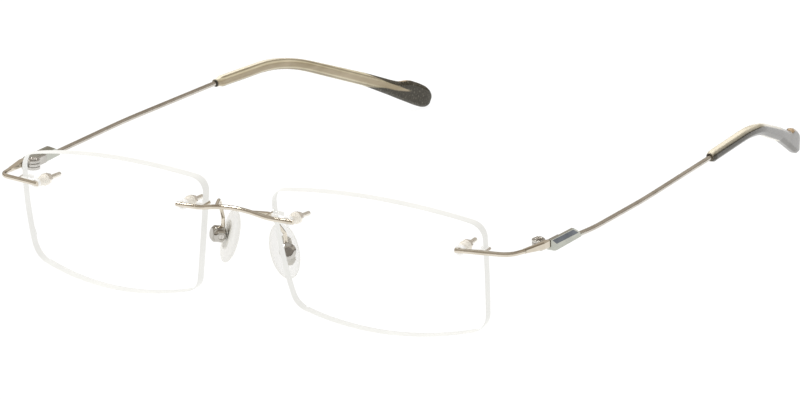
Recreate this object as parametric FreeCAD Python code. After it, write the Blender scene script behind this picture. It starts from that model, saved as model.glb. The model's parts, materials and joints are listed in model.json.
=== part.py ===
import FreeCAD, Part
import math
import os

# Rimless drill-mount eyeglasses: two lenses, a wire bridge, wire end pieces and
# folding wire temples. Millimetres, +Z up, +Y towards the temple tips, +X to the
# wearer's left. While building, x = 0 is the middle of the bridge, y = 0 and z = 0
# are the lens centres. At the end everything moves so that the origin is under the
# middle of the whole object, on the surface that the lenses and tips rest on.

V = FreeCAD.Vector

# ---- Driving dimensions -------------------------------------------------------
LENS_WIDTH = 51.0
BRIDGE_GAP = 18.0
FRONT_RADIUS = 116.0          # spherical lens front
LENS_THICKNESS = 2.0
LENS_WRAP = 4.9               # each lens turned back at its temple side, degrees
LENS_TILT = 4.5               # lens tops lean forward, degrees
# corners of the lens before rounding, (away from nose, up), then each corner's radius
TOP_NOSE = (-25.75, 13.7)
TOP_TEMPLE = (25.45, 11.15)
BOTTOM_TEMPLE = (24.3, -12.55)
BOTTOM_NOSE = (-21.75, -12.05)
CORNER_RADII = (3.3, 4.0, 4.6, 4.1)
# how far each side bows outwards: top, temple side, bottom, nose side
SIDE_BOWS = (3.3, 0.5, 3.1, 0.6)
EDGE_BEVEL = 0.15

FRONT_WIRE_R = 0.52
TEMPLE_WIRE_R = 0.55
STUD_R = 0.66
STUD_PAST_NUT = 0.3           # full diameter shows this far behind the nut
STUD_END_R = 0.5              # reduced from there on, with a coned tip
STUD_CONE = 0.2
STUD_HOLE_R = 1.07            # holds the bush around the stud
WASHER_R = 1.2
FLANGE_R = 1.35
METAL_WASHER_R = 1.35
METAL_WASHER_T = 0.3
MOUNT_SEAT = 3.4              # wire centre to the metal washer
INSIDE_LENS = 1.8             # wire centre to inside the lens
NUT_ACROSS_FLATS = 2.2
NUT_T = 0.9
PRONG_R = 0.35
CLIP_T = 0.28
CLIP_REACH = 1.7
CLIP_HEIGHT = 0.85
FIT = 0.02                    # clearance inside a sleeve or pocket

# wire-centre to stud-tip lines, on the wearer's left
TEMPLE_STUD = (V(54.8, 2.43, 6.28), V(53.75, 10.7, 6.3))
NOSE_STUD = (V(13.5, -1.11, 8.05), V(13.8, 7.15, 7.65))

BRIDGE_END = V(15.05, -1.0, 8.0)
BRIDGE_BEND = V(8.6, -1.45, 8.2)
BRIDGE_SHOULDER = V(4.5, -1.6, 9.05)
BRIDGE_TOP = V(0, -1.65, 9.42)
# anti-rotation prongs beside the lens edges, from the wire backwards
NOSE_PRONG = (V(8.2, -1.45, 8.35), V(8.2, 1.5, 8.55))
TEMPLE_PRONG = (V(60.2, 3.8, 6.15), V(60.2, 6.2, 6.4))

END_WIRE = (V(53.9, 2.2, 6.3), V(65.7, 5.15, 5.95), V(66.6, 9.5, 5.73))
CORNER_R = 3.8

HINGE = V(65.4, 17.1, 5.1)
HINGE_R = 1.4
HINGE_HEIGHT = 2.2
KNUCKLE_GAP = 0.06
HINGE_SCREW_R = 0.5
HINGE_BORE_R = 0.54
HINGE_HEAD_R = 0.95
HINGE_HEAD_T = 0.25
PLATE_T = 0.75                # soldered hinge plate

SEAM_Y = 17.4
SEAM_GAP = 0.12
BLADE_X = (67.0, 68.25)
BLADE_HEIGHT = 1.7
BLADE_MIDDLE_Z = 5.35
BLADE_STARTS = 15.2

BLOCK_X = (67.0, 68.45)
BLOCK_TOP = 6.2
BLOCK_TOP_END_Y = 26.6        # the ridge ends here and slopes down to the wire
BLOCK_END = (28.9, 4.75)      # y, z of the slope's foot
BLOCK_UNDERSIDE = ((19.6, 3.35), (29.4, 3.6))
BLOCK_CHAMFER = (0.8, 0.7)    # inner top edge: across, down
INLAY_OUTLINE = ((17.9, 6.0), (26.3, 6.0), (28.3, 4.75), (19.6, 4.75))
INLAY_T = 0.3

# centre line of the temple wire, which runs on as a core inside the tip
BLOCK_WIRE = V(67.75, 26.0, 4.15)
TEMPLE_KNEES = (V(68.2, 35.0, 3.9), V(67.75, 56.0, 4.1), V(65.2, 88.1, 4.3))
EAR_BEND = V(62.7, 111.6, 4.1)
EAR_BEND_R = 38.0
TEMPLE_RADII = [60.0, 150.0, 150.0, EAR_BEND_R]
TIP_END = V(49.1, 152.2, -12.9)
TIP_START_Y = 88.1
CORE_STOP = 7.5               # the core ends this far before the tip does
# the tips are bent by hand to fit: how much higher each ear bend and tip end is
HAND_BENT = {"left": (0.3, 0.95), "right": (-0.25, -1.4)}
# tip: distance before its end, bottom and top about the centre line, width
TIP_SHAPE = (
    (68.6, -0.9, 0.9, 1.8),
    (68.1, -1.25, 1.25, 2.5),
    (46.0, -1.25, 1.25, 2.7),
    (21.0, -1.25, 1.7, 2.6),
    (12.5, -2.0, 1.55, 2.4),
    (10.3, -2.25, 1.65, 2.4),
    (7.7, -2.5, 2.55, 2.35),
    (4.0, -2.85, 2.35, 2.25),
    (2.4, -2.85, 2.0, 2.15),
    (1.2, -2.65, 1.5, 1.95),
    (0.5, -2.25, 0.95, 1.65),
    (0.1, -1.6, 0.3, 1.25),
)
TIP_STATIONS = 60
TIP_END_STATIONS = (3.2, 2.4, 1.7, 1.2, 0.8, 0.5, 0.25, 0.1)

BOX_MIDDLE = V(8.81, 5.58, -0.48)
PAD_DOWN = V(3.36, -0.93, -11.67)
PAD_TURN = 52.0               # pads open backwards, to the slope of the nose
PAD_SIZE = (1.45, 3.2, 6.3)   # half thickness, half width, half height
PAD_PLANE = 2.55              # widest plane of the pad, from the box middle
PAD_FORWARD = 0.6             # the pad sits this far forward of its box
BOX_R = 1.85
BOX_X = (-1.85, 1.25)
BOX_CHAMFER = 0.6
POCKET = (-0.95, 0.55, 1.1)   # floor, half width, half height
PLATE = (0.3, 1.35, 3.3)      # thickness, half width, half height
PLATE_CUT = 0.9
PLATE_GAP = 0.4
TAB_R = 0.8
TAB_HALF_T = 0.4
PAD_SCREW_R = 0.36
PAD_BORE_R = 0.4
PAD_HEAD_R = 0.65
ARM_R = 0.42
ARM_START = V(4.4, -1.6, 9.0)
ARM_KNEE = V(6.5, 2.8, 8.4)
ARM_ANKLE = V(7.95, 6.1, 3.2)
ARM_FOOT = (0.45, 1.6)        # where the arm meets the box, in pad coordinates
# each pad arm is bent to fit: the wearer's left pad sits lower than the right one
PAD_DROP = {"left": 0.7, "right": -0.7}

# from the middle of the lenses to the place on the ground under the middle
TO_ORIGIN = V(0, -75.076, 16.272)


# ---- Helpers ------------------------------------------------------------------
def mirrored(shape):
    """The same piece for the wearer's right side."""
    return shape.mirror(V(0, 0, 0), V(1, 0, 0))


def cylinder(start, end, radius):
    axis = end - start
    return Part.makeCylinder(radius, axis.Length, start, axis)


def rounded_path(points, radii=None):
    """Straight runs joined by tangent arcs; by default as large as the runs allow."""
    edges = []
    last = points[0]
    for i in range(1, len(points) - 1):
        back = points[i - 1] - points[i]
        ahead = points[i + 1] - points[i]
        half_turn = (math.pi - back.getAngle(ahead)) / 2
        trim = 0.45 * min(back.Length, ahead.Length)
        if radii:
            trim = radii[i - 1] * math.tan(half_turn)
        radius = trim / math.tan(half_turn)
        back.normalize()
        ahead.normalize()
        first = points[i] + back * trim
        second = points[i] + ahead * trim
        inward = back + ahead
        inward.normalize()
        rise = radius / math.cos(half_turn) - radius
        edges.append(Part.LineSegment(last, first).toShape())
        edges.append(Part.Arc(first, points[i] + inward * rise, second).toShape())
        last = second
    edges.append(Part.LineSegment(last, points[-1]).toShape())
    return Part.Wire(edges)


def tube(points, radius, radii=None):
    """Round wire along a path."""
    path = rounded_path(points, radii)
    ring = Part.Circle(points[0], points[1] - points[0], radius)
    return path.makePipeShell([Part.Wire(ring.toShape())], True, False)


def octagon(centre, across, up, width, height, cut):
    """Rectangle with cut corners, as a closed wire."""
    w = width / 2
    h = height / 2
    flat = [(w, h - cut), (w - cut, h), (cut - w, h), (-w, h - cut),
            (-w, cut - h), (cut - w, -h), (w - cut, -h), (w, cut - h)]
    corners = [centre + across * a + up * b for a, b in flat]
    return Part.makePolygon(corners + corners[:1])


def prism(outline, x_from, x_to):
    """Solid from an outline of (y, z) points, extruded along X."""
    corners = [V(x_from, y, z) for y, z in outline]
    face = Part.Face(Part.makePolygon(corners + corners[:1]))
    return face.extrude(V(x_to - x_from, 0, 0))


# ---- Lens ---------------------------------------------------------------------
def on_lens(shape):
    """Move a shape from lens coordinates to its place on the wearer's left."""
    shape.rotate(V(0, 0, 0), V(0, 0, 1), LENS_WRAP)
    shape.translate(V((BRIDGE_GAP + LENS_WIDTH) / 2, 0, 0))
    shape.rotate(V(0, 0, 0), V(1, 0, 0), LENS_TILT)
    return shape


def lens_outline():
    """Closed outline of the lens: four bowed sides with rounded corners."""
    corners = [TOP_NOSE, TOP_TEMPLE, BOTTOM_TEMPLE, BOTTOM_NOSE]
    edges = []
    for i, bow in enumerate(SIDE_BOWS):
        u1, v1 = corners[i]
        u2, v2 = corners[(i + 1) % 4]
        length = math.hypot(u2 - u1, v2 - v1)
        out_u = (v1 - v2) / length
        out_v = (u2 - u1) / length
        crown = V((u1 + u2) / 2 + out_u * bow, 0, (v1 + v2) / 2 + out_v * bow)
        edges.append(Part.Arc(V(u1, 0, v1), crown, V(u2, 0, v2)).toShape())
    plate = Part.Face(Part.Wire(edges)).extrude(V(0, 1, 0))
    for (u, v), radius in zip(corners, CORNER_RADII):
        middle = V(u, 0.5, v)
        edge = min(plate.Edges, key=lambda e: (e.CenterOfMass - middle).Length)
        plate = plate.makeFillet(radius, [edge])
    face = min(plate.Faces, key=lambda f: f.CenterOfMass.y)
    return face.OuterWire


def lens_prism(grow):
    """Lens outline extruded through the lens; grow moves every side outwards."""
    depth = 16.0
    outline = lens_outline()
    if grow:
        outline = outline.makeOffset2D(grow)
    outline.translate(V(0, -depth / 2, 0))
    return Part.Face(outline).extrude(V(0, depth, 0))


def lens_blank(grow=0.0):
    """Lens before drilling, in its place; grow makes it thicker and wider all round."""
    centre = V(0, FRONT_RADIUS, 0)
    front = Part.makeSphere(FRONT_RADIUS + grow, centre)
    back = Part.makeSphere(FRONT_RADIUS - LENS_THICKNESS - grow, centre)
    return on_lens(lens_prism(grow).common(front).cut(back))


def bevelled(blank):
    """Break the front and back rims, as a polished lens edge is."""
    rims = []
    for face in blank.Faces:
        if isinstance(face.Surface, Part.Sphere):
            rims.extend(face.Edges)
    return blank.makeChamfer(EDGE_BEVEL, rims)


def lens():
    solid = bevelled(lens_blank())
    for start, end in (TEMPLE_STUD, NOSE_STUD):
        solid = solid.cut(cylinder(start, end, STUD_HOLE_R))
    return solid


# ---- Lens mounts --------------------------------------------------------------
def along(line, distance):
    start, end = line
    axis = end - start
    axis.normalize()
    return start + axis * distance


def mount(line, wire, blank):
    """Stud, washers, bush and nut on one drilled hole, from the wire backwards."""
    start, end = line
    seat = along(line, MOUNT_SEAT)
    inside = along(line, INSIDE_LENS)
    bore = cylinder(start, end, STUD_R + FIT)
    nut_end = along(line, MOUNT_SEAT + METAL_WASHER_T + NUT_T)
    step = along(line, MOUNT_SEAT + METAL_WASHER_T + NUT_T + STUD_PAST_NUT)
    cone_start = along(line, (end - start).Length - STUD_CONE)
    stud = cylinder(start, step, STUD_R).fuse(cylinder(step, cone_start, STUD_END_R))
    tip = Part.makeCone(STUD_END_R, STUD_END_R - STUD_CONE, STUD_CONE, cone_start, end - start)
    stud = stud.fuse(tip).cut(wire)
    washer = cylinder(start, inside, WASHER_R).cut(wire).cut(blank)
    washer = largest(washer.cut(bore))
    flange = cylinder(inside, seat, FLANGE_R).cut(blank)
    sleeve = cylinder(along(line, FRONT_WIRE_R + 0.25), seat, STUD_HOLE_R - FIT)
    bush = flange.fuse(sleeve).cut(bore).cut(washer).cut(wire)
    nut_seat = along(line, MOUNT_SEAT + METAL_WASHER_T)
    plate = cylinder(seat, nut_seat, METAL_WASHER_R).cut(bore)
    nut = hexagon(nut_seat, nut_end).cut(bore)
    return {"stud": stud, "washer": washer, "bush": bush, "metal_washer": plate, "nut": nut}


def largest(shape):
    """The largest solid of a cut shape."""
    return max(shape.Solids, key=lambda solid: solid.Volume)


def hexagon(start, end):
    axis = end - start
    unit = V(axis)
    unit.normalize()
    side = unit.cross(V(0, 0, 1))
    side.normalize()
    up = side.cross(unit)
    radius = NUT_ACROSS_FLATS / math.sqrt(3)
    corners = []
    for i in range(6):
        turn = math.radians(60 * i)
        corners.append(start + side * (radius * math.cos(turn)) + up * (radius * math.sin(turn)))
    return Part.Face(Part.makePolygon(corners + corners[:1])).extrude(axis)


def prong_and_clip(line, wire, blank, thicker, outward):
    """Prong soldered to the wire, and the plastic clip it holds the lens edge with."""
    start, end = line
    prong = cylinder(start, end, PRONG_R).cut(wire)
    edge_x = start.x - outward * (PRONG_R + FIT)
    reach_x = edge_x - outward * (CLIP_REACH + CLIP_T)
    depth = 8.0
    corner = V(min(edge_x, reach_x), start.y - depth / 2, start.z - CLIP_HEIGHT / 2)
    zone = Part.makeBox(abs(edge_x - reach_x), depth, CLIP_HEIGHT, corner)
    clip = zone.common(thicker).cut(blank).cut(prong).cut(wire)
    return {"prong": prong, "edge_clip": largest(clip)}


# ---- Bridge and end piece -----------------------------------------------------
def bridge_wire():
    half = [BRIDGE_END, BRIDGE_BEND, BRIDGE_SHOULDER]
    other = [V(-p.x, p.y, p.z) for p in reversed(half)]
    return tube(half + [BRIDGE_TOP] + other, FRONT_WIRE_R)


def end_piece():
    """Wire from the lens mount round the corner, flattened into a blade at the seam."""
    wire = tube(list(END_WIRE), FRONT_WIRE_R, [CORNER_R])
    across = V(1, 0, 0)
    up = V(0, 0, 1)
    middle_x = sum(BLADE_X) / 2
    width = BLADE_X[1] - BLADE_X[0]
    blade_start = V(middle_x, BLADE_STARTS, BLADE_MIDDLE_Z + 0.1)
    blade_end = V(middle_x, SEAM_Y - SEAM_GAP, BLADE_MIDDLE_Z)
    round_size = 2 * FRONT_WIRE_R
    sections = [
        octagon(END_WIRE[2], across, up, round_size, round_size, 0.3),
        octagon(blade_start, across, up, width, BLADE_HEIGHT, 0.25),
        octagon(blade_end, across, up, width, BLADE_HEIGHT, 0.15),
    ]
    return wire.fuse(Part.makeLoft(sections, True, True))


# ---- Hinge --------------------------------------------------------------------
def hinge_cylinder(z_from, z_to, radius):
    return Part.makeCylinder(radius, z_to - z_from, V(HINGE.x, HINGE.y, z_from))


def knuckle_levels():
    """Bottom and top of the three knuckles."""
    low = HINGE.z - HINGE_HEIGHT / 2
    third = HINGE_HEIGHT / 3
    half_gap = KNUCKLE_GAP / 2
    return [
        (low, low + third - half_gap),
        (low + third + half_gap, low + 2 * third - half_gap),
        (low + 2 * third + half_gap, low + HINGE_HEIGHT),
    ]


def front_hinge(end):
    """Plate soldered inside the blade, with the top and bottom knuckles."""
    levels = knuckle_levels()
    plate_y = SEAM_Y - 2.8
    back_y = SEAM_Y - 0.4
    low = levels[0][0]
    corner = V(BLADE_X[0] - PLATE_T, plate_y, low + 0.4)
    shape = Part.makeBox(PLATE_T, back_y - plate_y, HINGE_HEIGHT - 0.8, corner)
    for bottom, top in (levels[0], levels[2]):
        web = V(HINGE.x, HINGE.y - HINGE_R, bottom)
        shape = shape.fuse(Part.makeBox(BLADE_X[0] - HINGE.x, HINGE_R, top - bottom, web))
        shape = shape.fuse(hinge_cylinder(bottom, top, HINGE_R))
    bottom, top = levels[1]
    room = hinge_cylinder(bottom - KNUCKLE_GAP / 2, top + KNUCKLE_GAP / 2, HINGE_R + 0.12)
    bore = hinge_cylinder(low - 1, low + HINGE_HEIGHT + 1, HINGE_SCREW_R + 0.01)
    return shape.cut(room).cut(bore).cut(end)


def temple_hinge():
    """Plate soldered inside the temple block, with the middle knuckle."""
    bottom, top = knuckle_levels()[1]
    plate_y = HINGE.y + HINGE_R + 0.25
    plate_z = BLOCK_UNDERSIDE[0][1] + 0.3
    plate_top = BLOCK_TOP - BLOCK_CHAMFER[1]
    corner = V(BLOCK_X[0] - PLATE_T, plate_y, plate_z)
    shape = Part.makeBox(PLATE_T, 4.6, plate_top - plate_z, corner)
    web = V(HINGE.x, HINGE.y, bottom)
    reach = plate_y + 0.6 - HINGE.y
    shape = shape.fuse(Part.makeBox(BLOCK_X[0] - HINGE.x, reach, top - bottom, web))
    shape = shape.fuse(hinge_cylinder(bottom, top, HINGE_R))
    blade_room = Part.makeBox(1.0, 2.0, HINGE_HEIGHT, V(BLOCK_X[0] - 0.12, SEAM_Y - 2.0, bottom - 1))
    return shape.cut(blade_room).cut(hinge_cylinder(bottom - 1, top + 1, HINGE_BORE_R))


def hinge_screw():
    low = HINGE.z - HINGE_HEIGHT / 2
    high = HINGE.z + HINGE_HEIGHT / 2
    head_top = high + HINGE_HEAD_T
    slot_size = (3.0, 0.28, 0.22)
    screw = hinge_cylinder(low - 0.1, high, HINGE_SCREW_R)
    screw = screw.fuse(hinge_cylinder(high, head_top, HINGE_HEAD_R))
    slot_corner = V(HINGE.x - slot_size[0] / 2, HINGE.y - slot_size[1] / 2, head_top - slot_size[2])
    return screw.cut(Part.makeBox(*slot_size, slot_corner))


# ---- Temple -------------------------------------------------------------------
def block_outline():
    """Side view of the block: rounded underneath at the seam, sloping to the wire."""
    seam_bottom = BLADE_MIDDLE_Z - BLADE_HEIGHT / 2
    (low_y, low_z), rear = BLOCK_UNDERSIDE
    points = [BLOCK_END, (BLOCK_TOP_END_Y, BLOCK_TOP), (SEAM_Y, BLOCK_TOP)]
    steps = 5
    for i in range(steps + 1):
        turn = math.pi / 2 * i / steps
        y = SEAM_Y + (low_y - SEAM_Y) * (1 - math.cos(turn))
        points.append((y, seam_bottom - (seam_bottom - low_z) * math.sin(turn)))
    points.append(rear)
    return points


def inner_chamfer():
    """Wedge cut off the block's inner top edge."""
    across, down = BLOCK_CHAMFER
    inner = BLOCK_X[0]
    corners = [V(inner - 1, 0, BLOCK_TOP + 1), V(inner + across, 0, BLOCK_TOP + 1),
               V(inner + across, 0, BLOCK_TOP), V(inner, 0, BLOCK_TOP - down),
               V(inner - 1, 0, BLOCK_TOP - down)]
    return Part.Face(Part.makePolygon(corners + corners[:1])).extrude(V(0, 40, 0))


def ear_points(side):
    """The ear bend and the end of the tip, as bent for one side."""
    bend_rise, end_rise = HAND_BENT[side]
    return EAR_BEND + V(0, 0, bend_rise), TIP_END + V(0, 0, end_rise)


def temple_line(side):
    """Centre line of the whole temple wire, to the end of its core."""
    bend, end = ear_points(side)
    ahead = end - bend
    core_end = bend + ahead * ((ahead.Length - CORE_STOP) / ahead.Length)
    return [BLOCK_WIRE, *TEMPLE_KNEES, bend, core_end]


def temple(side):
    """Block behind the seam and the wire that runs back from it."""
    block = prism(block_outline(), *BLOCK_X).cut(inner_chamfer())
    wire = tube(temple_line(side), TEMPLE_WIRE_R, TEMPLE_RADII)
    pocket = prism(INLAY_OUTLINE, BLOCK_X[1] - INLAY_T, BLOCK_X[1] + 1)
    return block.fuse(wire).cut(pocket)


def inlay():
    return prism(INLAY_OUTLINE, BLOCK_X[1] - INLAY_T, BLOCK_X[1])


def tip_section(before_end):
    """Bottom, top and width of the tip at a distance before its end."""
    for first, second in zip(TIP_SHAPE, TIP_SHAPE[1:]):
        if first[0] >= before_end >= second[0]:
            share = (first[0] - before_end) / (first[0] - second[0])
            return [a + (b - a) * share for a, b in zip(first[1:], second[1:])]
    raise ValueError("no tip section at %s" % before_end)


def temple_tip(core, side):
    """Plastic tip: cut-corner sections along the wire's line, ending in a paddle."""
    line = rounded_path([TEMPLE_KNEES[-1], *ear_points(side)], [EAR_BEND_R])
    points = line.discretize(Number=TIP_STATIONS)
    end = points[-1]
    last_run = end - points[-2]
    last_run.normalize()
    points = [p for p in points if (end - p).Length > TIP_END_STATIONS[0] + 0.5]
    points += [end - last_run * distance for distance in TIP_END_STATIONS] + [end]
    before = [0.0]
    for here, after in zip(points[-2::-1], points[:0:-1]):
        before.append(before[-1] + (after - here).Length)
    before.reverse()
    sections = []
    for i, point in enumerate(points[:-1]):
        before_end = min(max(before[i], TIP_SHAPE[-1][0]), TIP_SHAPE[0][0])
        forward = points[i + 1] - points[max(i - 1, 0)]
        forward.normalize()
        across = forward.cross(V(0, 0, 1))
        across.normalize()
        up = across.cross(forward)
        bottom, top, width = tip_section(before_end)
        centre = point + up * ((bottom + top) / 2)
        sections.append(octagon(centre, across, up, width, top - bottom, 0.28 * width))
    return Part.makeLoft(sections, True, True).cut(core)


# ---- Nose pads ----------------------------------------------------------------
def pad_placement(drop):
    """Pad coordinates: X towards the nose, Y along the screw to the front, Z up."""
    up = V(PAD_DOWN) * -1
    up.normalize()
    turn = math.radians(PAD_TURN)
    nose = V(-math.cos(turn), math.sin(turn), 0)
    nose = nose - up * nose.dot(up)
    nose.normalize()
    screw = up.cross(nose)
    return FreeCAD.Placement(BOX_MIDDLE - V(0, 0, drop), FreeCAD.Rotation(nose, screw, up, "XZY"))


def placed(shape, drop):
    shape = shape.copy()
    shape.transformShape(pad_placement(drop).toMatrix(), True)
    return shape


def across_box(radius, y_from, y_to):
    """Cylinder along the pad screw."""
    return Part.makeCylinder(radius, y_to - y_from, V(0, y_from, 0), V(0, 1, 0))


def pad_box():
    body = Part.makeCylinder(BOX_R, BOX_X[1] - BOX_X[0], V(BOX_X[0], 0, 0), V(1, 0, 0))
    body = body.makeChamfer(BOX_CHAMFER, body.Edges[:1] + body.Edges[2:])
    floor, half_width, half_height = POCKET
    corner = V(floor, -half_width, -half_height)
    body = body.cut(Part.makeBox(BOX_X[1] - floor, 2 * half_width, 2 * half_height, corner))
    body = body.cut(across_box(PAD_SCREW_R + 0.01, -BOX_R, BOX_R))
    return body.cut(across_box(PAD_HEAD_R + FIT, BOX_R - 0.55, BOX_R + 1))


def pad_screw():
    head_bottom = BOX_R - 0.55
    screw = across_box(PAD_SCREW_R, -1.5, head_bottom)
    screw = screw.fuse(across_box(PAD_HEAD_R, head_bottom, head_bottom + 0.35))
    slot_corner = V(-0.12, head_bottom + 0.17, -1)
    return screw.cut(Part.makeBox(0.24, 0.3, 2, slot_corner))


def pad_plate():
    """Metal plate inside the back of the pad, with the tab that the screw holds."""
    thickness, half_width, half_height = PLATE
    x = BOX_X[1] + PLATE_GAP
    plate = octagon(V(x, 0, 0), V(0, 1, 0), V(0, 0, 1), 2 * half_width, 2 * half_height, PLATE_CUT)
    plate = Part.Face(plate).extrude(V(thickness, 0, 0))
    tab_corner = V(0, -TAB_HALF_T, -TAB_R)
    tab = Part.makeBox(x, 2 * TAB_HALF_T, 2 * TAB_R, tab_corner)
    tab = tab.fuse(across_box(TAB_R, -TAB_HALF_T, TAB_HALF_T))
    return plate.fuse(tab).cut(across_box(PAD_BORE_R, -1, 1))


def nose_pad(plate):
    half_thickness, half_width, half_height = PAD_SIZE
    shape = Part.makeSphere(1.0)
    stretch = FreeCAD.Matrix()
    stretch.scale(half_thickness, half_width, half_height)
    shape = shape.transformGeometry(stretch)
    shape.translate(V(PAD_PLANE, PAD_FORWARD, 0))
    back = BOX_X[1] + PLATE_GAP
    corner = V(back - 3, -10, -10)
    return shape.cut(Part.makeBox(3, 20, 20, corner)).cut(plate)


def pad_arm(bridge, box, drop):
    """Thin wire from the back of the bridge down to the pad box."""
    x, z = ARM_FOOT
    foot = pad_placement(drop).multVec(V(x, 0, z))
    lowered = V(0, 0, drop)
    points = [ARM_START, ARM_KNEE - lowered, ARM_ANKLE - lowered, foot]
    return tube(points, ARM_R, [1.4, 1.1]).cut(bridge).cut(box)


def temple_group(side):
    """The temple with its tip, bent for one side but built on the wearer's left."""
    arm = temple(side)
    return {"temple": arm, "temple_tip": temple_tip(arm, side)}


def pad_group(bridge, side):
    """Arm, box, screw, plate and pad, built on the wearer's left."""
    drop = PAD_DROP[side]
    plate = pad_plate()
    box = placed(pad_box(), drop)
    return {
        "pad_arm": pad_arm(bridge, box, drop),
        "pad_box": box,
        "pad_screw": placed(pad_screw(), drop),
        "pad_plate": placed(plate, drop),
        "nose_pad": placed(nose_pad(plate), drop),
    }


# ---- The whole object ---------------------------------------------------------
def alike(bridge):
    """The pieces that are the same on both sides, built on the wearer's left."""
    end = end_piece()
    blank = lens_blank()
    thicker = lens_blank(CLIP_T)
    pieces = {
        "lens": lens(),
        "end_piece": end,
        "front_hinge": front_hinge(end),
        "hinge_screw": hinge_screw(),
        "temple_hinge": temple_hinge(),
        "temple_inlay": inlay(),
    }
    corners = (
        ("temple_side", TEMPLE_STUD, TEMPLE_PRONG, end, 1),
        ("nose_side", NOSE_STUD, NOSE_PRONG, bridge, -1),
    )
    for place, stud_line, prong_line, wire, outward in corners:
        group = mount(stud_line, wire, blank)
        group.update(prong_and_clip(prong_line, wire, blank, thicker, outward))
        for name, shape in group.items():
            pieces["%s_%s" % (place, name)] = shape
    return pieces


def export(side, name, shape):
    if side == "right":
        shape = mirrored(shape)
    shape = shape.copy()
    shape.translate(TO_ORIGIN)
    node = "%s_%s" % (side, name) if side else name
    shape.exportStep("parts/%s.step" % node)


def main():
    os.makedirs("parts", exist_ok=True)
    bridge = bridge_wire()
    export("", "bridge_wire", bridge)
    shared = alike(bridge)
    for side in ("left", "right"):
        for group in (shared, temple_group(side), pad_group(bridge, side)):
            for name, shape in group.items():
                export(side, name, shape)


main()
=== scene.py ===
import json
import math

import bmesh
import bpy
import numpy as np
from mathutils import Matrix, Vector


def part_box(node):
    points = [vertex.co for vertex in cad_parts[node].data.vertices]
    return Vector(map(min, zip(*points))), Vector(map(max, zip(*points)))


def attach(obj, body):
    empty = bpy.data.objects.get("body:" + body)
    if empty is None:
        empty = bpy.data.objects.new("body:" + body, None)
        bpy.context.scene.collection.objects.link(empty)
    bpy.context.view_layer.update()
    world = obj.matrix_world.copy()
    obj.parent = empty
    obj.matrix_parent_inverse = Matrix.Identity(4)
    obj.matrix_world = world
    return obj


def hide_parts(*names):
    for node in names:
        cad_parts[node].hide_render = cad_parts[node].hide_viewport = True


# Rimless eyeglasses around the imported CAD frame. Metres, +Z up, +Y towards the temple
# tips, +X to the wearer's left.

MM = 0.001

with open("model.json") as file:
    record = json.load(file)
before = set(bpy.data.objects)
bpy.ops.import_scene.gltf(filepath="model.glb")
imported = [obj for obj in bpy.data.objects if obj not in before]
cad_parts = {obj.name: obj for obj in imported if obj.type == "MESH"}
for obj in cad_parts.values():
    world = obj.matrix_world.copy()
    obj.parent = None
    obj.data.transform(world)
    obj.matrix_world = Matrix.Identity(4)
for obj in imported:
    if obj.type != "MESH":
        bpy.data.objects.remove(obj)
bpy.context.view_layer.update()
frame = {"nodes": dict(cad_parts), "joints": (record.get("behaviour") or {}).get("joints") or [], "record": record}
NODES = frame["nodes"]
JOINTS = {joint["name"]: joint for joint in frame["joints"]}
SLOT_OF = {part["node"]: part["material_slot"] for part in frame["record"]["subparts"]}
BODY_OF = {node: body for body, members in frame["record"]["behaviour"]["bodies"].items()
           for node in members}
SIDES = ("left", "right")
PLACES = ("temple_side", "nose_side")


def put(name, data):
    """A new object in the scene."""
    thing = bpy.data.objects.new(name, data)
    bpy.context.scene.collection.objects.link(thing)
    return thing


# ---- Camera, light and floor --------------------------------------------------------
CAMERA_AZIMUTH = 33.479
CAMERA_ELEVATION = 17.372
CAMERA_ROLL = -2.307
CAMERA_DISTANCE = 2.0
CAMERA_LENS = 419.4
CAMERA_SENSOR = 36.0
CAMERA_TARGET = Vector((28.612, -54.931, 25.143)) * MM
FLOOR_HALF = 3.0              # metres
FLOOR_DROP = 0.02             # mm under the object
FLOOR_GLOW = 0.95
# height in the studio, 0 at eye level and 1 overhead, and its colour there
STUDIO_LEVELS = ((0.0, (0.04, 0.028, 0.018)), (0.12, (0.12, 0.09, 0.065)),
                 (0.21, (0.56, 0.51, 0.45)), (0.55, (0.62, 0.57, 0.51)),
                 (0.70, (0.24, 0.20, 0.16)), (0.95, (0.62, 0.60, 0.57)))


def make_camera():
    azimuth = math.radians(CAMERA_AZIMUTH)
    elevation = math.radians(CAMERA_ELEVATION)
    back = Vector((math.sin(azimuth) * math.cos(elevation),
                   -math.cos(azimuth) * math.cos(elevation),
                   math.sin(elevation)))
    camera = put("camera", bpy.data.cameras.new("camera"))
    camera.data.lens = CAMERA_LENS
    camera.data.sensor_width = CAMERA_SENSOR
    level = (-back).to_track_quat("-Z", "Y")
    roll = Matrix.Rotation(math.radians(CAMERA_ROLL), 4, "Z")
    camera.matrix_world = (Matrix.Translation(CAMERA_TARGET + back * CAMERA_DISTANCE)
                           @ level.to_matrix().to_4x4() @ roll)
    bpy.context.scene.camera = camera


def soft_light(name, place, size, power, mirrored=True):
    """Square area light that looks at the middle of the object; mirrored: shiny pieces show it."""
    data = bpy.data.lights.new(name, "AREA")
    data.size = size
    data.energy = power
    light = put(name, data)
    light.location = place
    light.rotation_mode = "QUATERNION"
    light.rotation_quaternion = Vector(place).to_track_quat("Z", "Y")
    light.visible_glossy = mirrored


def set_stops(ramp, stops):
    """Give a colour ramp these places and colours."""
    elements = ramp.color_ramp.elements
    while len(elements) < len(stops):
        elements.new(0.5)
    for element, (at, colour) in zip(elements, stops):
        element.position = at
        element.color = (*colour, 1)


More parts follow.
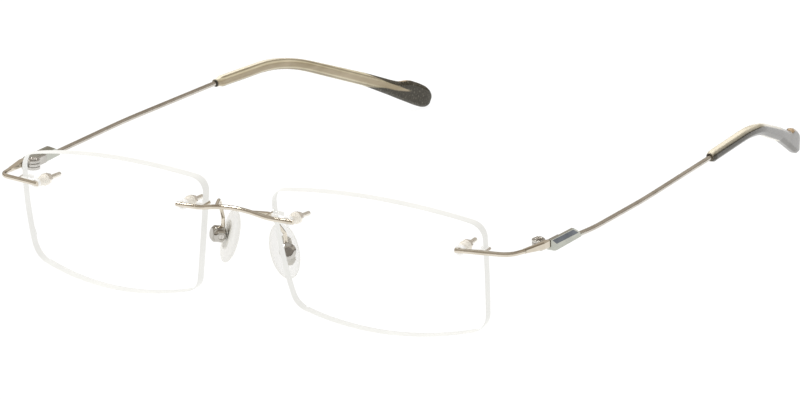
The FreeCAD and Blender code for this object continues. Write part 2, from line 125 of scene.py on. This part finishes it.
def make_world():
    """Studio that shiny pieces mirror, with two bright bands above eye level; white to the camera."""
    world = bpy.data.worlds.new("studio")
    bpy.context.scene.world = world
    world.use_nodes = True
    tree = world.node_tree
    tree.nodes.clear()
    output = tree.nodes.new("ShaderNodeOutputWorld")
    mix = tree.nodes.new("ShaderNodeMixShader")
    room = tree.nodes.new("ShaderNodeBackground")
    plain = tree.nodes.new("ShaderNodeBackground")
    path = tree.nodes.new("ShaderNodeLightPath")
    place = tree.nodes.new("ShaderNodeTexCoord")
    split = tree.nodes.new("ShaderNodeSeparateXYZ")
    ramp = tree.nodes.new("ShaderNodeValToRGB")
    tree.links.new(place.outputs["Generated"], split.inputs[0])
    tree.links.new(split.outputs["Z"], ramp.inputs["Fac"])
    tree.links.new(ramp.outputs["Color"], room.inputs["Color"])
    tree.links.new(path.outputs["Is Camera Ray"], mix.inputs["Fac"])
    tree.links.new(room.outputs[0], mix.inputs[1])
    tree.links.new(plain.outputs[0], mix.inputs[2])
    tree.links.new(mix.outputs[0], output.inputs["Surface"])
    plain.inputs["Color"].default_value = (1, 1, 1, 1)
    set_stops(ramp, STUDIO_LEVELS)


def make_floor():
    bm = bmesh.new()
    bmesh.ops.create_grid(bm, x_segments=8, y_segments=8, size=FLOOR_HALF)
    mesh = bpy.data.meshes.new("floor")
    bm.to_mesh(mesh)
    bm.free()
    floor = put("floor", mesh)
    floor.location.z = -FLOOR_DROP * MM
    paint = Paint("floor_paper")
    paint.colour(paint.ramp(((0.0, (0.09, 0.09, 0.09)), (1.0, (0.10, 0.10, 0.10))), paint.noise(4.0)))
    paint.shader.inputs["Roughness"].default_value = 0.9
    paint.shader.inputs["Specular IOR Level"].default_value = 0.0
    paint.shader.inputs["Emission Color"].default_value = (1, 1, 1, 1)
    paint.shader.inputs["Emission Strength"].default_value = FLOOR_GLOW
    mesh.materials.append(paint.material)


# ---- Materials ------------------------------------------------------------------------
NOISE_LOW = 0.3               # noise mostly stays between these two values
NOISE_HIGH = 0.7
SHADED_CORNER = 0.08 * MM     # radius that metal corners are shaded with
BLOCK_FADE = 3 * MM           # length over which the temple's block turns into its wire
HOLE_CLEAR = 1.6 * MM         # nearer than this to a bush, the lens has the wall of its hole
LENS_FACE_TURN = 0.8          # faces of the lens have normals with more than this along y
# features of a noise per metre
METAL_GRAIN = 5200.0
METAL_CLOUDS = 260.0
PLASTIC_GRAIN = 2600.0
PLASTIC_CLOUDS = 160.0
SILICONE_CLOUDS = 300.0
TIP_STREAKS = 330.0
TIP_SPECKS = 2400.0
# share of the silicone that shows where it is seen face on and edge on
SILICONE_FACE_ON = 0.22
SILICONE_EDGE_ON = 0.80


class Paint:
    """One procedural material: a Principled shader and the nodes that drive it."""

    def __init__(self, name):
        self.material = bpy.data.materials.new(name)
        self.material.use_nodes = True
        self.tree = self.material.node_tree
        self.tree.nodes.clear()
        self.output = self.add("OutputMaterial")
        self.shader = self.add("BsdfPrincipled")
        self.link(self.shader.outputs[0], self.output.inputs["Surface"])
        self.place = self.add("TexCoord").outputs["Object"]

    def add(self, kind, **settings):
        node = self.tree.nodes.new("ShaderNode" + kind)
        for name, value in settings.items():
            setattr(node, name, value)
        return node

    def link(self, source, target):
        self.tree.links.new(source, target)

    def noise(self, scale, stretch=(1, 1, 1), detail=3.0, rough=0.5):
        """Noise in object space; scale is features per metre."""
        mapping = self.add("Mapping")
        mapping.inputs["Scale"].default_value = stretch
        self.link(self.place, mapping.inputs["Vector"])
        node = self.add("TexNoise")
        node.inputs["Scale"].default_value = scale
        node.inputs["Detail"].default_value = detail
        node.inputs["Roughness"].default_value = rough
        self.link(mapping.outputs[0], node.inputs["Vector"])
        return node.outputs["Fac"]

    def ramp(self, stops, factor):
        node = self.add("ValToRGB")
        set_stops(node, stops)
        self.link(factor, node.inputs["Fac"])
        return node.outputs["Color"]

    def tones(self, dark, light, noise):
        """Two tones that a noise mixes."""
        return self.ramp(((NOISE_LOW, dark), (NOISE_HIGH, light)), noise)

    def colour(self, source):
        self.link(source, self.shader.inputs["Base Color"])

    def span(self, factor, low, high, start=NOISE_LOW, stop=NOISE_HIGH):
        """Map a factor between start and stop to the range from low to high."""
        node = self.add("MapRange")
        node.inputs["From Min"].default_value = start
        node.inputs["From Max"].default_value = stop
        node.inputs["To Min"].default_value = low
        node.inputs["To Max"].default_value = high
        self.link(factor, node.inputs["Value"])
        return node.outputs["Result"]

    def roughness(self, factor, low, high):
        self.link(self.span(factor, low, high), self.shader.inputs["Roughness"])

    def mix(self, factor, first, second):
        node = self.add("Mix", data_type="RGBA")
        self.link(factor, node.inputs["Factor"])
        self.link(first, node.inputs["A"])
        self.link(second, node.inputs["B"])
        return node.outputs["Result"]

    def bump(self, height, distance, strength=1.0, edge=0.0):
        """Bump from a height; edge rounds the shaded corners by that radius."""
        node = self.add("Bump")
        node.inputs["Strength"].default_value = strength
        node.inputs["Distance"].default_value = distance
        self.link(height, node.inputs["Height"])
        if edge:
            corner = self.add("Bevel", samples=6)
            corner.inputs["Radius"].default_value = edge
            self.link(corner.outputs[0], node.inputs["Normal"])
        self.link(node.outputs[0], self.shader.inputs["Normal"])

    def see_through(self, share):
        """Let only this share of the shader show, with clear behind it."""
        clear = self.add("BsdfTransparent")
        mix = self.add("MixShader")
        self.link(share, mix.inputs["Fac"])
        self.link(clear.outputs[0], mix.inputs[1])
        self.link(self.shader.outputs[0], mix.inputs[2])
        self.link(mix.outputs[0], self.output.inputs["Surface"])


def bare_metal(name, rough, edge):
    """Metal with fine grain in its gloss, and the cloudy noise that its colour is to follow."""
    paint = Paint(name)
    paint.shader.inputs["Metallic"].default_value = 1.0
    fine = paint.noise(METAL_GRAIN, detail=5.0, rough=0.65)
    paint.roughness(fine, *rough)
    paint.bump(fine, 0.002 * MM, 0.5, edge)
    return paint, paint.noise(METAL_CLOUDS, detail=4.0)


def metal(name, dark, light, rough, edge=SHADED_CORNER):
    """Drawn or polished metal with a cloudy tint."""
    paint, cloud = bare_metal(name, rough, edge)
    paint.colour(paint.tones(dark, light, cloud))
    return paint.material


def temple_metal():
    """Satin wire, with a greener and darker brushed block at the hinge."""
    paint, cloud = bare_metal("satin_temple", (0.18, 0.30), SHADED_CORNER)
    wire = paint.tones((0.52, 0.48, 0.42), (0.64, 0.60, 0.54), cloud)
    block = paint.tones((0.44, 0.45, 0.40), (0.52, 0.53, 0.47), cloud)
    split = paint.add("SeparateXYZ")
    paint.link(paint.place, split.inputs[0])
    block_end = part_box("left_temple_inlay")[1].y
    front = paint.span(split.outputs["Y"], 1.0, 0.0, block_end, block_end + BLOCK_FADE)
    paint.colour(paint.mix(front, wire, block))
    return paint.material


def plastic(name, dark, light, rough, painted_glow=0.0):
    """Moulded plastic; its glow is painted light, an emission that makes a milky piece brighter as if lit from
    inside.
    """
    paint = Paint(name)
    paint.colour(paint.tones(dark, light, paint.noise(PLASTIC_CLOUDS)))
    fine = paint.noise(PLASTIC_GRAIN, detail=4.0)
    paint.roughness(fine, *rough)
    paint.shader.inputs["IOR"].default_value = 1.46
    paint.shader.inputs["Emission Color"].default_value = (1.0, 1.0, 0.97, 1)
    # painted light: emission that brightens the plastic though it is no lamp
    paint.shader.inputs["Emission Strength"].default_value = painted_glow
    paint.bump(fine, 0.004 * MM, 0.4)
    return paint.material


def lens_face():
    """Clear polished glass: almost only its faint reflection shows."""
    paint = Paint("lens_clear")
    paint.shader.inputs["Metallic"].default_value = 1.0
    paint.colour(paint.tones((0.96, 0.98, 0.97), (1.0, 1.0, 1.0), paint.noise(60.0)))
    paint.roughness(paint.noise(900.0), 0.01, 0.03)
    gloss = paint.add("Fresnel")
    gloss.inputs["IOR"].default_value = 1.5
    outside = paint.add("Math", operation="SUBTRACT")
    outside.inputs[0].default_value = 1.0
    paint.link(paint.add("NewGeometry").outputs["Backfacing"], outside.inputs[1])
    shine = paint.add("Math", operation="MULTIPLY")
    paint.link(gloss.outputs[0], shine.inputs[0])
    paint.link(outside.outputs[0], shine.inputs[1])
    paint.see_through(shine.outputs[0])
    return paint.material


def make_materials():
    return {
        "wire": metal("polished_wire", (0.62, 0.56, 0.46), (0.76, 0.70, 0.60), (0.06, 0.13), edge=0.0),
        "temple_metal": temple_metal(),
        "hinge": metal("hinge_steel", (0.42, 0.40, 0.36), (0.62, 0.60, 0.56), (0.22, 0.38)),
        "screw": metal("turned_screw", (0.50, 0.47, 0.42), (0.72, 0.70, 0.66), (0.12, 0.28)),
        "inlay": metal("slate_inlay", (0.100, 0.112, 0.128), (0.152, 0.166, 0.184), (0.24, 0.36)),
        "stud": metal("satin_stud", (0.82, 0.78, 0.69), (0.93, 0.90, 0.83), (0.40, 0.52)),
        "washer": metal("champagne_washer", (0.84, 0.77, 0.65), (0.94, 0.89, 0.79), (0.34, 0.46)),
        "nut": metal("polished_nut", (0.84, 0.81, 0.75), (0.95, 0.93, 0.89), (0.26, 0.38)),
        "plate": metal("pad_plate_metal", (0.78, 0.77, 0.72), (0.90, 0.89, 0.85), (0.48, 0.58)),
        "box": metal("dark_polished_box", (0.42, 0.40, 0.36), (0.56, 0.54, 0.50), (0.07, 0.14)),
        # painted light: the bush, the clear washers and the milky clips glow by emission
        "bush": plastic("beige_bush", (0.62, 0.58, 0.50), (0.74, 0.70, 0.62), (0.28, 0.42), painted_glow=0.24),
        "clear_washer": plastic("clear_washer", (0.52, 0.52, 0.52), (0.58, 0.58, 0.58), (0.12, 0.22),
                                painted_glow=0.45),
        "clip": plastic("milky_clip", (0.48, 0.48, 0.47), (0.54, 0.54, 0.53), (0.22, 0.34), painted_glow=0.45),
        "pad": silicone(),
        "tip": acetate(),
        "lens_face": lens_face(),
        # painted light: the frosted lens edge glows by emission, standing in for light the edge carries
        "lens_edge": plastic("frosted_edge", (0.19, 0.19, 0.18), (0.24, 0.24, 0.23), (0.5, 0.6), painted_glow=0.64),
    }


def dress(materials):
    """Every CAD node but the lenses gets the material of its slot."""
    for name, node in NODES.items():
        if not name.endswith("_lens"):
            node.data.materials.clear()
            node.data.materials.append(materials[SLOT_OF[name]])


def dress_lens(node, materials):
    """Clear faces and hole walls, and a frosted edge round the outline that glows with painted light."""
    node.data.materials.clear()
    node.data.materials.append(materials["lens_face"])
    node.data.materials.append(materials["lens_edge"])
    side = node.name.split("_")[0]
    holes = []
    for place in PLACES:
        low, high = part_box("%s_%s_bush" % (side, place))
        holes.append((low + high) / 2)
    for polygon in node.data.polygons:
        nearest = min(math.hypot(polygon.center.x - h.x, polygon.center.z - h.z) for h in holes)
        edge = abs(polygon.normal.y) <= LENS_FACE_TURN and nearest > HOLE_CLEAR
        polygon.material_index = 1 if edge else 0


# ---- Pieces with rounded corners ---------------------------------------------------
# ending of the node's name: grid size in mm, smoothing rounds, material
ROUNDED = {
    "front_hinge": (0.08, 3, "hinge"),
    "temple_hinge": (0.08, 3, "hinge"),
    "hinge_screw": (0.05, 2, "screw"),
    "pad_box": (0.09, 14, "box"),
    "pad_screw": (0.05, 2, "screw"),
    "stud": (0.07, 5, "stud"),
    "washer": (0.07, 4, "clear_washer"),
    "metal_washer": (0.06, 3, "washer"),
    "nut": (0.07, 6, "nut"),
    "bush": (0.07, 3, "bush"),
    "edge_clip": (0.05, 5, "clip"),
    "temple_side_prong": (0.06, 4, "nut"),
}
WELD = 0.0005                 # mm, corners closer than this are one


def show_instead(piece, name):
    """A piece stands for a CAD node, on its body; the node is hidden."""
    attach(piece, BODY_OF[name])
    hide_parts(name)


def rounded(name, grid, rounds, material):
    """A remeshed copy of a CAD node, with its corners rounded off, shown in its place."""
    mesh = NODES[name].data.copy()
    mesh.transform(Matrix.Scale(1 / MM, 4))
    bm = bmesh.new()
    bm.from_mesh(mesh)
    bmesh.ops.remove_doubles(bm, verts=bm.verts, dist=WELD)
    bm.to_mesh(mesh)
    bm.free()
    rough = put(name + "_rough", mesh)
    remesh = rough.modifiers.new("remesh", "REMESH")
    remesh.mode = "VOXEL"
    remesh.voxel_size = grid
    remesh.use_smooth_shade = True
    smooth = rough.modifiers.new("smooth", "SMOOTH")
    smooth.factor = 0.5
    smooth.iterations = rounds
    bpy.context.view_layer.update()
    seen = rough.evaluated_get(bpy.context.evaluated_depsgraph_get())
    final = bpy.data.meshes.new_from_object(seen)
    final.transform(Matrix.Scale(MM, 4))
    final.name = name + "_form"
    final.materials.clear()
    final.materials.append(material)
    bpy.data.objects.remove(rough)
    piece = put(name + "_form", final)
    show_instead(piece, name)
    return piece


def round_off(materials):
    """Show every node that ROUNDED lists as its softened copy."""
    for name in NODES:
        endings = [ending for ending in ROUNDED if name.endswith("_" + ending)]
        if endings:
            grid, rounds, kind = ROUNDED[max(endings, key=len)]
            rounded(name, grid, rounds, materials[kind])


# ---- Temple tips ----------------------------------------------------------------------
# in mm, except for the two counts
TIP_GRID = 0.2
TIP_SMOOTHING = 4             # rounds
WIRE_LEAD = 2.0               # how far before the tip the line of its wire starts
RING_GAP = 0.35               # points farther apart than this along y are of two rings of the wire
RING_POINTS = 5               # a ring has more points than this
KHAKI_HALF = 2.6              # half the height of the khaki layer
KHAKI_RAISE = 0.12            # how far it sits above the wire
KHAKI_ENDS = 28.0             # before the tip's end, where the layer starts to narrow
KHAKI_POINT = 6.5             # and where it comes to its point
CREAM_ENDS = (20.0, 34.0)     # before the tip's end, where the cream top edge fades
CORE_HALF = 0.6               # half the height of the wire core
LINE_AT = 1.02                # shade lines above and below the core
AMBER_GLINT_AT = (3.0, 4.5, 8.0, 9.5)   # before the tip's end: where the painted amber glint on the paddle's hump comes and goes
MOUTH_SHADE = 0.5                   # depth of the painted shade ring where the wire goes in
SOFT = 0.15                   # half the width of a layer's soft border


def wire_line(side):
    """Centre line of the temple wire: points with rising y, in mm."""
    points = sorted((v.co / MM for v in NODES[side + "_temple"].data.vertices), key=lambda p: p.y)
    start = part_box(side + "_temple_tip")[0].y / MM
    rings = [[]]
    for point in points:
        if point.y < start - WIRE_LEAD:
            continue
        if rings[-1] and point.y - rings[-1][-1].y > RING_GAP:
            rings.append([])
        rings[-1].append(point)
    middles = [sum(ring, Vector()) / len(ring) for ring in rings if len(ring) > RING_POINTS]
    return np.array([list(middle) for middle in middles])


def smooth_step(low, high, value):
    """0 below low, 1 above high, and a soft rise between them."""
    share = np.clip((value - low) / (high - low), 0, 1)
    return share * share * (3 - 2 * share)


def mesh_rows(mesh, what):
    """Places or normals of a mesh's vertices as rows."""
    flat = np.zeros(len(mesh.vertices) * 3)
    mesh.vertices.foreach_get(what, flat)
    return flat.reshape(-1, 3)


def paint_layers(piece, side):
    """Per-vertex layers of the acetate: khaki inside the dark skin, the wire core, and details."""
    mesh = piece.data
    line = wire_line(side)
    place = mesh_rows(mesh, "co") / MM
    normal = mesh_rows(mesh, "normal")
    y, z = place[:, 1], place[:, 2]
    upward = normal[:, 2]
    outward = normal[:, 0] if side == "left" else -normal[:, 0]
    # height across the tip from the wire, which goes straight on behind its end
    ahead = np.polyfit(line[-2:, 1], line[-2:, 2], 1)
    middle = np.where(y > line[-1, 1], np.polyval(ahead, y), np.interp(y, line[:, 1], line[:, 2]))
    across = (z - middle) * math.cos(math.atan(ahead[0]))
    before_end = y.max() - y

    khaki_half = KHAKI_HALF * smooth_step(KHAKI_POINT, KHAKI_ENDS, before_end)
    khaki = 1 - smooth_step(khaki_half - SOFT, khaki_half + SOFT, np.abs(across - KHAKI_RAISE))
    # the dark skin starts where the surface faces outwards by this much, and later along the top
    skin = 0.35 + 0.45 * smooth_step(0.1, 0.5, upward)
    inward = smooth_step(0, 0.3, skin - outward)
    khaki = khaki * inward * smooth_step(KHAKI_POINT - 0.5, KHAKI_POINT + 0.8, before_end)

    outer_top = smooth_step(0.2, 0.5, upward) * smooth_step(-0.5, -0.2, outward)
    cream = khaki * outer_top * smooth_step(*CREAM_ENDS, before_end)
    off_line = np.abs(np.abs(across) - LINE_AT)
    lines = (1 - smooth_step(0.12, 0.24, off_line)) * khaki * (1 - outer_top)

    core_half = CORE_HALF * smooth_step(KHAKI_POINT - 1.0, KHAKI_POINT + 5.0, before_end)
    core = 1 - smooth_step(core_half - SOFT, core_half + 0.1, np.abs(across))
    core = core * inward * smooth_step(KHAKI_POINT, KHAKI_POINT + 1.0, before_end)

    # painted glint: amber where the paddle's hump faces up and outwards, standing in for light shining through the
    # acetate
    rise, risen, fall, fallen = AMBER_GLINT_AT
    paddle = smooth_step(rise, risen, before_end) * (1 - smooth_step(fall, fallen, before_end))
    amber = paddle * smooth_step(0.35, 0.7, upward) * smooth_step(-0.3, 0.0, outward)
    # painted shade: the start of the tip, where the wire goes in, darkened to near black
    mouth = 1 - smooth_step(0.0, MOUTH_SHADE, y - y.min())
    for name, values in (("khaki", khaki), ("cream", cream), ("core", core),
                         ("lines", lines), ("amber", amber), ("mouth", mouth)):
        layer = mesh.attributes.new(name, "FLOAT", "POINT")
        layer.data.foreach_set("value", values.astype(np.float32))


# painted layer, its two tones and the noise that mixes them; each covers the ones above it
TIP_LAYERS = (
    ("khaki", (0.52, 0.46, 0.30), (0.78, 0.72, 0.54), "streak"),
    ("core", (0.40, 0.33, 0.21), (0.58, 0.50, 0.36), "streak"),
    ("cream", (0.80, 0.74, 0.58), (0.90, 0.86, 0.73), "streak"),
    ("lines", (0.24, 0.20, 0.13), (0.40, 0.35, 0.25), "streak"),
    # painted glint of light through the acetate at the paddle's top
    ("amber", (0.32, 0.20, 0.10), (0.64, 0.48, 0.29), "speck"),
    # painted shade at the opening where the wire goes in
    ("mouth", (0.02, 0.018, 0.015), (0.05, 0.045, 0.04), "speck"),
)
# the dark skin: two tones, and pale specks at the top of the noise
TIP_SKIN = ((0.3, (0.026, 0.023, 0.015)), (0.62, (0.060, 0.055, 0.040)), (0.80, (0.26, 0.25, 0.20)))


def acetate():
    """Glossy laminated acetate: dark outside, khaki inside with the core showing through."""
    paint = Paint("laminated_acetate")
    noises = {"streak": paint.noise(TIP_STREAKS, stretch=(1, 0.15, 1), detail=5.0),
              "speck": paint.noise(TIP_SPECKS, detail=2.0)}
    colour = paint.ramp(TIP_SKIN, noises["speck"])
    for name, dark, light, noise in TIP_LAYERS:
        layer = paint.add("Attribute", attribute_name=name).outputs["Fac"]
        colour = paint.mix(layer, colour, paint.tones(dark, light, noises[noise]))
    paint.colour(colour)
    paint.roughness(noises["speck"], 0.10, 0.20)
    paint.shader.inputs["IOR"].default_value = 1.5
    paint.shader.inputs["Specular Tint"].default_value = (1.0, 0.95, 0.87, 1)
    paint.shader.inputs["Coat Weight"].default_value = 0.08
    paint.shader.inputs["Coat Roughness"].default_value = 0.06
    paint.bump(noises["streak"], 0.01 * MM, 0.3)
    return paint.material


def temple_tip(side, material):
    name = side + "_temple_tip"
    paint_layers(rounded(name, TIP_GRID, TIP_SMOOTHING, material), side)


# ---- Nose pads ------------------------------------------------------------------------
# share of the oval, share of the thickness from the back: flat back with a shallow
# recess round the plate, full rim, domed front
PAD_PROFILE = ((0.0, 0.06), (0.52, 0.06), (0.64, 0.0), (0.86, 0.0), (0.955, 0.06), (1.0, 0.24),
               (0.985, 0.42), (0.93, 0.58), (0.80, 0.76), (0.58, 0.90), (0.30, 0.98), (0.0, 1.0))
PAD_AROUND = 48


def pad_axes(side):
    """Middle of the pad box, and unit vectors towards the nose, along the screw and up."""
    joint = JOINTS[side + "_pad_rock"]
    middle = Vector(joint["pos_m"])
    screw = Vector(joint["axis"]).normalized()
    if screw.y > 0:
        screw.negate()
    vertices = NODES[side + "_nose_pad"].data.vertices
    nose = sum((v.co for v in vertices), Vector()) / len(vertices) - middle
    nose -= screw * nose.dot(screw)
    nose.normalize()
    up = nose.cross(screw)
    if up.z < 0:
        up.negate()
    return middle, nose, screw, up


def nose_pad(side, material):
    """The pad as an oval with the rings of PAD_PROFILE, in the span of its CAD node."""
    name = side + "_nose_pad"
    middle, nose, screw, up = pad_axes(side)
    spans = []
    for axis in (nose, screw, up):
        along = [(v.co - middle).dot(axis) for v in NODES[name].data.vertices]
        spans.append((min(along), max(along)))
    (back, front), (rear, fore), (low, high) = spans
    bm = bmesh.new()
    rings = []
    for share, depth in PAD_PROFILE:
        x = back + (front - back) * depth
        count = PAD_AROUND if share else 1
        ring = []
        for i in range(count):
            turn = math.tau * i / PAD_AROUND
            y = (rear + fore) / 2 + (fore - rear) / 2 * share * math.cos(turn)
            z = (low + high) / 2 + (high - low) / 2 * share * math.sin(turn)
            ring.append(bm.verts.new(middle + nose * x + screw * y + up * z))
        rings.append(ring)
    for first, second in zip(rings, rings[1:]):
        for i in range(PAD_AROUND):
            j = (i + 1) % PAD_AROUND
            if len(first) == 1:
                bm.faces.new((first[0], second[i], second[j]))
            elif len(second) == 1:
                bm.faces.new((first[j], first[i], second[0]))
            else:
                bm.faces.new((first[j], first[i], second[i], second[j]))
    bmesh.ops.recalc_face_normals(bm, faces=bm.faces)
    mesh = bpy.data.meshes.new(name + "_form")
    bm.to_mesh(mesh)
    bm.free()
    mesh.shade_smooth()
    mesh.materials.append(material)
    piece = put(name + "_form", mesh)
    piece.modifiers.new("smooth", "SUBSURF").render_levels = 1
    show_instead(piece, name)


def silicone():
    """Clear silicone: see-through face on, paler and milkier where it is seen edge on, with a painted glow of
    emission that brightens it.
    """
    paint = Paint("clear_silicone")
    cloud = paint.noise(SILICONE_CLOUDS, detail=4.0)
    paint.colour(paint.tones((0.36, 0.35, 0.31), (0.42, 0.41, 0.37), cloud))
    fine = paint.noise(PLASTIC_GRAIN, detail=4.0)
    paint.roughness(fine, 0.14, 0.26)
    paint.shader.inputs["IOR"].default_value = 1.41
    # painted light: emission brightens the silicone though it is no lamp
    paint.shader.inputs["Emission Color"].default_value = (1.0, 0.99, 0.95, 1)
    paint.shader.inputs["Emission Strength"].default_value = 0.36
    paint.bump(fine, 0.006 * MM, 0.4)
    edge_on = paint.add("LayerWeight")
    edge_on.inputs["Blend"].default_value = 0.35
    facing = edge_on.outputs["Facing"]
    paint.see_through(paint.span(facing, SILICONE_FACE_ON, SILICONE_EDGE_ON, 0.0, 1.0))
    return paint.material


# ---- The whole scene ------------------------------------------------------------------
make_camera()
make_world()
make_floor()
# each light's place and size in metres, and its power in watts
soft_light("overhead", (-0.3, 0.2, 1.6), 1.0, 16.0, mirrored=False)
soft_light("front_left", (-1.3, -1.1, 1.0), 0.8, 10.0, mirrored=False)
soft_light("highlight", (-0.85, -0.32, 1.3), 0.34, 6.0)
MATERIALS = make_materials()
dress(MATERIALS)
for side in SIDES:
    dress_lens(NODES[side + "_lens"], MATERIALS)
    temple_tip(side, MATERIALS["tip"])
    nose_pad(side, MATERIALS["pad"])
round_off(MATERIALS)
bpy.context.scene.view_settings.view_transform = "Standard"
